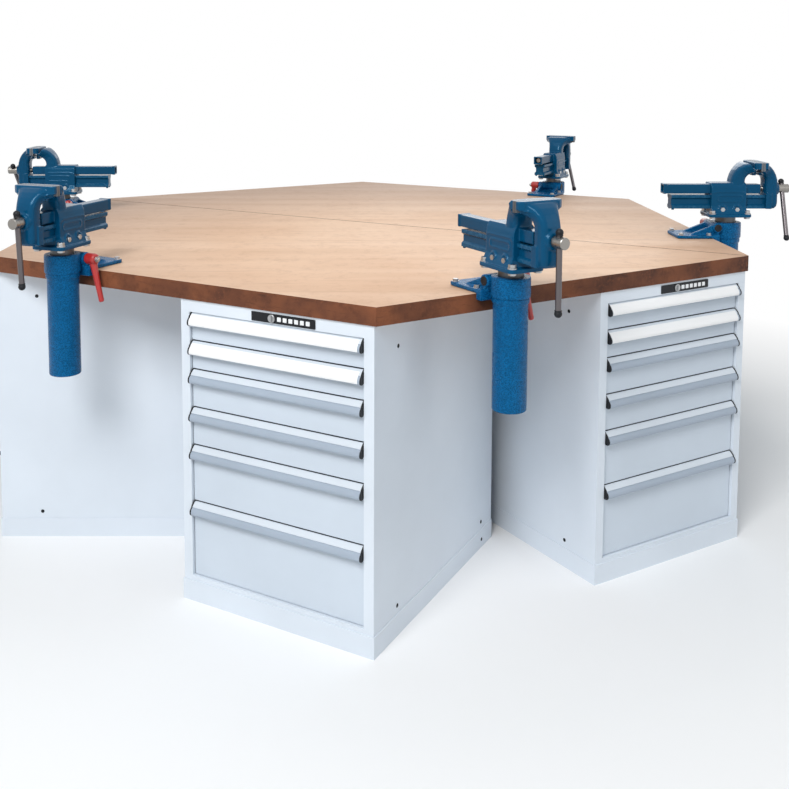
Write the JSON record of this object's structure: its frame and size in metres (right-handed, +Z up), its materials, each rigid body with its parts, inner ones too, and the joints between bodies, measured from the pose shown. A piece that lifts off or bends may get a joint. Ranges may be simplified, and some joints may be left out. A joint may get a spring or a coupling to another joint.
{
  "type": "hexagonal group workbench",
  "caption": "Hexagonal beech worktop on steel drawer cabinets, with bench vices on swivelling, height-adjusting lifts along its sides.",
  "frame": {"origin": "on the floor, under the middle of the whole bench box; the hexagon centre is 29.0 mm further along +Y", "axes": "+Z up, +Y away from the corner that faces the viewer, +X to the viewer's right"},
  "size_m": [2.7036, 2.5923, 1.0873],
  "materials": {
    "beech": "oiled",
    "cabinet_grey": "fine textured powder coat",
    "drawer_front": "fine textured powder coat",
    "lift_blue": "hammered enamel",
    "vice_blue": "gloss enamel",
    "spindle_steel": "turned",
    "post_steel": "ground",
    "lever_red": "gloss enamel"
  },
  "bodies": {
    "bench": {"worktop_rear_half": "beech", "worktop_front_half": "beech", "cabinet_1_housing": "cabinet_grey", "vice_1_lift_column": "lift_blue", "cabinet_2_housing": "cabinet_grey", "vice_2_lift_column": "lift_blue", "cabinet_3_housing": "cabinet_grey", "cabinet_3_drawers": "drawer_front", "vice_3_lift_column": "lift_blue", "cabinet_4_housing": "cabinet_grey", "cabinet_4_drawers": "drawer_front", "vice_4_lift_column": "lift_blue", "cabinet_5_housing": "cabinet_grey", "cabinet_5_drawers": "drawer_front", "cabinet_6_housing": "cabinet_grey", "cabinet_6_drawers": "drawer_front", "vice_6_lift_column": "lift_blue"},
    "cabinet_1_drawer_1": {"cabinet_1_drawer_1": "drawer_front"},
    "cabinet_1_drawer_2": {"cabinet_1_drawer_2": "drawer_front"},
    "cabinet_1_drawer_3": {"cabinet_1_drawer_3": "drawer_front"},
    "cabinet_1_drawer_4": {"cabinet_1_drawer_4": "drawer_front"},
    "cabinet_1_drawer_5": {"cabinet_1_drawer_5": "drawer_front"},
    "cabinet_1_drawer_6": {"cabinet_1_drawer_6": "drawer_front"},
    "vice_1_clamp_lever": {"vice_1_clamp_lever": "lever_red"},
    "vice_1_lift_post": {"vice_1_lift_post": "post_steel"},
    "vice_1_body": {"vice_1_body": "vice_blue"},
    "vice_1_moving_jaw": {"vice_1_moving_jaw": "vice_blue"},
    "vice_1_spindle": {"vice_1_spindle": "spindle_steel"},
    "vice_1_t_bar": {"vice_1_t_bar": "spindle_steel"},
    "cabinet_2_drawer_1": {"cabinet_2_drawer_1": "drawer_front"},
    "cabinet_2_drawer_2": {"cabinet_2_drawer_2": "drawer_front"},
    "cabinet_2_drawer_3": {"cabinet_2_drawer_3": "drawer_front"},
    "cabinet_2_drawer_4": {"cabinet_2_drawer_4": "drawer_front"},
    "cabinet_2_drawer_5": {"cabinet_2_drawer_5": "drawer_front"},
    "cabinet_2_drawer_6": {"cabinet_2_drawer_6": "drawer_front"},
    "vice_2_clamp_lever": {"vice_2_clamp_lever": "lever_red"},
    "vice_2_lift_post": {"vice_2_lift_post": "post_steel"},
    "vice_2_body": {"vice_2_body": "vice_blue"},
    "vice_2_moving_jaw": {"vice_2_moving_jaw": "vice_blue"},
    "vice_2_spindle": {"vice_2_spindle": "spindle_steel"},
    "vice_2_t_bar": {"vice_2_t_bar": "spindle_steel"},
    "vice_3_clamp_lever": {"vice_3_clamp_lever": "lever_red"},
    "vice_3_lift_post": {"vice_3_lift_post": "post_steel"},
    "vice_3_body": {"vice_3_body": "vice_blue"},
    "vice_3_moving_jaw": {"vice_3_moving_jaw": "vice_blue"},
    "vice_3_spindle": {"vice_3_spindle": "spindle_steel"},
    "vice_3_t_bar": {"vice_3_t_bar": "spindle_steel"},
    "vice_4_clamp_lever": {"vice_4_clamp_lever": "lever_red"},
    "vice_4_lift_post": {"vice_4_lift_post": "post_steel"},
    "vice_4_body": {"vice_4_body": "vice_blue"},
    "vice_4_moving_jaw": {"vice_4_moving_jaw": "vice_blue"},
    "vice_4_spindle": {"vice_4_spindle": "spindle_steel"},
    "vice_4_t_bar": {"vice_4_t_bar": "spindle_steel"},
    "vice_6_clamp_lever": {"vice_6_clamp_lever": "lever_red"},
    "vice_6_lift_post": {"vice_6_lift_post": "post_steel"},
    "vice_6_body": {"vice_6_body": "vice_blue"},
    "vice_6_moving_jaw": {"vice_6_moving_jaw": "vice_blue"},
    "vice_6_spindle": {"vice_6_spindle": "spindle_steel"},
    "vice_6_t_bar": {"vice_6_t_bar": "spindle_steel"}
  },
  "joints": [
    {"name": "cabinet_1_drawer_1_slide", "type": "slide", "parent": "bench", "child": "cabinet_1_drawer_1", "axis": [-0.5, -0.866, 0], "range_m": [0, 0.6]},
    {"name": "cabinet_1_drawer_2_slide", "type": "slide", "parent": "bench", "child": "cabinet_1_drawer_2", "axis": [-0.5, -0.866, 0], "range_m": [0, 0.6]},
    {"name": "cabinet_1_drawer_3_slide", "type": "slide", "parent": "bench", "child": "cabinet_1_drawer_3", "axis": [-0.5, -0.866, 0], "range_m": [0, 0.6]},
    {"name": "cabinet_1_drawer_4_slide", "type": "slide", "parent": "bench", "child": "cabinet_1_drawer_4", "axis": [-0.5, -0.866, 0], "range_m": [0, 0.6]},
    {"name": "cabinet_1_drawer_5_slide", "type": "slide", "parent": "bench", "child": "cabinet_1_drawer_5", "axis": [-0.5, -0.866, 0], "range_m": [0, 0.6]},
    {"name": "cabinet_1_drawer_6_slide", "type": "slide", "parent": "bench", "child": "cabinet_1_drawer_6", "axis": [-0.5, -0.866, 0], "range_m": [0, 0.6]},
    {"name": "vice_1_lift", "type": "slide", "parent": "bench", "child": "vice_1_lift_post", "axis": [0, 0, 1], "range_m": [-0.01, 0.2]},
    {"name": "vice_1_swivel", "type": "hinge", "parent": "vice_1_lift_post", "child": "vice_1_body", "pos_m": [-0.82784, -0.82388, 0.9123], "axis": [0, 0, 1], "range_deg": [-80, 70]},
    {"name": "vice_1_jaw_slide", "type": "slide", "parent": "vice_1_body", "child": "vice_1_moving_jaw", "axis": [-0.3502, -0.9367, 0], "range_m": [0, 0.15]},
    {"name": "vice_1_spindle_turn", "type": "hinge", "parent": "vice_1_moving_jaw", "child": "vice_1_spindle", "pos_m": [-0.88538, -0.97778, 1.0003], "axis": [-0.3502, -0.9367, 0], "range_deg": [0, 9000]},
    {"name": "vice_1_t_bar_slide", "type": "slide", "parent": "vice_1_spindle", "child": "vice_1_t_bar", "axis": [-0.049, 0.0183, 0.9986], "range_m": [0, 0.138]},
    {"name": "vice_1_clamp_turn", "type": "hinge", "parent": "bench", "child": "vice_1_clamp_lever", "pos_m": [-0.76454, -0.81424, 0.8783], "axis": [-0.866, 0.5, 0], "range_deg": [0, 90]},
    {"name": "cabinet_2_drawer_1_slide", "type": "slide", "parent": "bench", "child": "cabinet_2_drawer_1", "axis": [0.5, -0.866, 0], "range_m": [0, 0.6]},
    {"name": "cabinet_2_drawer_2_slide", "type": "slide", "parent": "bench", "child": "cabinet_2_drawer_2", "axis": [0.5, -0.866, 0], "range_m": [0, 0.6]},
    {"name": "cabinet_2_drawer_3_slide", "type": "slide", "parent": "bench", "child": "cabinet_2_drawer_3", "axis": [0.5, -0.866, 0], "range_m": [0, 0.6]},
    {"name": "cabinet_2_drawer_4_slide", "type": "slide", "parent": "bench", "child": "cabinet_2_drawer_4", "axis": [0.5, -0.866, 0], "range_m": [0, 0.6]},
    {"name": "cabinet_2_drawer_5_slide", "type": "slide", "parent": "bench", "child": "cabinet_2_drawer_5", "axis": [0.5, -0.866, 0], "range_m": [0, 0.6]},
    {"name": "cabinet_2_drawer_6_slide", "type": "slide", "parent": "bench", "child": "cabinet_2_drawer_6", "axis": [0.5, -0.866, 0], "range_m": [0, 0.6]},
    {"name": "vice_2_lift", "type": "slide", "parent": "bench", "child": "vice_2_lift_post", "axis": [0, 0, 1], "range_m": [-0.01, 0.2]},
    {"name": "vice_2_swivel", "type": "hinge", "parent": "vice_2_lift_post", "child": "vice_2_body", "pos_m": [0.32468, -1.11438, 0.9123], "axis": [0, 0, 1], "range_deg": [-77, 80]},
    {"name": "vice_2_jaw_slide", "type": "slide", "parent": "vice_2_body", "child": "vice_2_moving_jaw", "axis": [0.454, -0.891, 0], "range_m": [0, 0.15]},
    {"name": "vice_2_spindle_turn", "type": "hinge", "parent": "vice_2_moving_jaw", "child": "vice_2_spindle", "pos_m": [0.39927, -1.26077, 1.0003], "axis": [0.454, -0.891, 0], "range_deg": [0, 9000]},
    {"name": "vice_2_t_bar_slide", "type": "slide", "parent": "vice_2_spindle", "child": "vice_2_t_bar", "axis": [0, 0, 1], "range_m": [0, 0.138]},
    {"name": "vice_2_clamp_turn", "type": "hinge", "parent": "bench", "child": "vice_2_clamp_lever", "pos_m": [0.34798, -1.05474, 0.8783], "axis": [-0.866, -0.5, 0], "range_deg": [0, 90]},
    {"name": "vice_3_lift", "type": "slide", "parent": "bench", "child": "vice_3_lift_post", "axis": [0, 0, 1], "range_m": [-0.01, 0.2]},
    {"name": "vice_3_swivel", "type": "hinge", "parent": "vice_3_lift_post", "child": "vice_3_body", "pos_m": [1.15252, -0.26152, 0.9123], "axis": [0, 0, 1], "range_deg": [-80, 80]},
    {"name": "vice_3_jaw_slide", "type": "slide", "parent": "vice_3_body", "child": "vice_3_moving_jaw", "axis": [1, 0, 0], "range_m": [0, 0.15]},
    {"name": "vice_3_spindle_turn", "type": "hinge", "parent": "vice_3_moving_jaw", "child": "vice_3_spindle", "pos_m": [1.31682, -0.26152, 1.0003], "axis": [1, 0, 0], "range_deg": [0, 9000]},
    {"name": "vice_3_t_bar_slide", "type": "slide", "parent": "vice_3_spindle", "child": "vice_3_t_bar", "axis": [0, 0.309, 0.9511], "range_m": [0, 0.138]},
    {"name": "vice_3_clamp_turn", "type": "hinge", "parent": "bench", "child": "vice_3_clamp_lever", "pos_m": [1.11252, -0.21152, 0.8783], "axis": [0, -1, 0], "range_deg": [0, 90]},
    {"name": "vice_4_lift", "type": "slide", "parent": "bench", "child": "vice_4_lift_post", "axis": [0, 0, 1], "range_m": [-0.01, 0.2]},
    {"name": "vice_4_swivel", "type": "hinge", "parent": "vice_4_lift_post", "child": "vice_4_body", "pos_m": [0.82784, 0.88184, 0.9123], "axis": [0, 0, 1], "range_deg": [-80, 80]},
    {"name": "vice_4_jaw_slide", "type": "slide", "parent": "vice_4_body", "child": "vice_4_moving_jaw", "axis": [0.5, 0.866, 0], "range_m": [0, 0.15]},
    {"name": "vice_4_spindle_turn", "type": "hinge", "parent": "vice_4_moving_jaw", "child": "vice_4_spindle", "pos_m": [0.90999, 1.02413, 1.0003], "axis": [0.5, 0.866, 0], "range_deg": [0, 9000]},
    {"name": "vice_4_t_bar_slide", "type": "slide", "parent": "vice_4_spindle", "child": "vice_4_t_bar", "axis": [-0.2022, 0.1167, 0.9724], "range_m": [0, 0.138]},
    {"name": "vice_4_clamp_turn", "type": "hinge", "parent": "bench", "child": "vice_4_clamp_lever", "pos_m": [0.76454, 0.8722, 0.8783], "axis": [0.866, -0.5, 0], "range_deg": [0, 90]},
    {"name": "vice_6_lift", "type": "slide", "parent": "bench", "child": "vice_6_lift_post", "axis": [0, 0, 1], "range_m": [-0.01, 0.2]},
    {"name": "vice_6_swivel", "type": "hinge", "parent": "vice_6_lift_post", "child": "vice_6_body", "pos_m": [-1.15252, 0.31948, 0.9123], "axis": [0, 0, 1], "range_deg": [-80, 80]},
    {"name": "vice_6_jaw_slide", "type": "slide", "parent": "vice_6_body", "child": "vice_6_moving_jaw", "axis": [-1, 0, 0], "range_m": [0, 0.15]},
    {"name": "vice_6_spindle_turn", "type": "hinge", "parent": "vice_6_moving_jaw", "child": "vice_6_spindle", "pos_m": [-1.31682, 0.31948, 1.0003], "axis": [-1, 0, 0], "range_deg": [0, 9000]},
    {"name": "vice_6_t_bar_slide", "type": "slide", "parent": "vice_6_spindle", "child": "vice_6_t_bar", "axis": [0, -0.682, 0.7314], "range_m": [0, 0.138]},
    {"name": "vice_6_clamp_turn", "type": "hinge", "parent": "bench", "child": "vice_6_clamp_lever", "pos_m": [-1.11252, 0.26948, 0.8783], "axis": [0, 1, 0], "range_deg": [0, 90]}
  ],
  "couplings": [
    {"joint": "vice_1_jaw_slide", "follows": "vice_1_spindle_turn", "m_per_rad": 0.00095493},
    {"joint": "vice_2_jaw_slide", "follows": "vice_2_spindle_turn", "m_per_rad": 0.00095493},
    {"joint": "vice_3_jaw_slide", "follows": "vice_3_spindle_turn", "m_per_rad": 0.00095493},
    {"joint": "vice_4_jaw_slide", "follows": "vice_4_spindle_turn", "m_per_rad": 0.00095493},
    {"joint": "vice_6_jaw_slide", "follows": "vice_6_spindle_turn", "m_per_rad": 0.00095493}
  ]
}
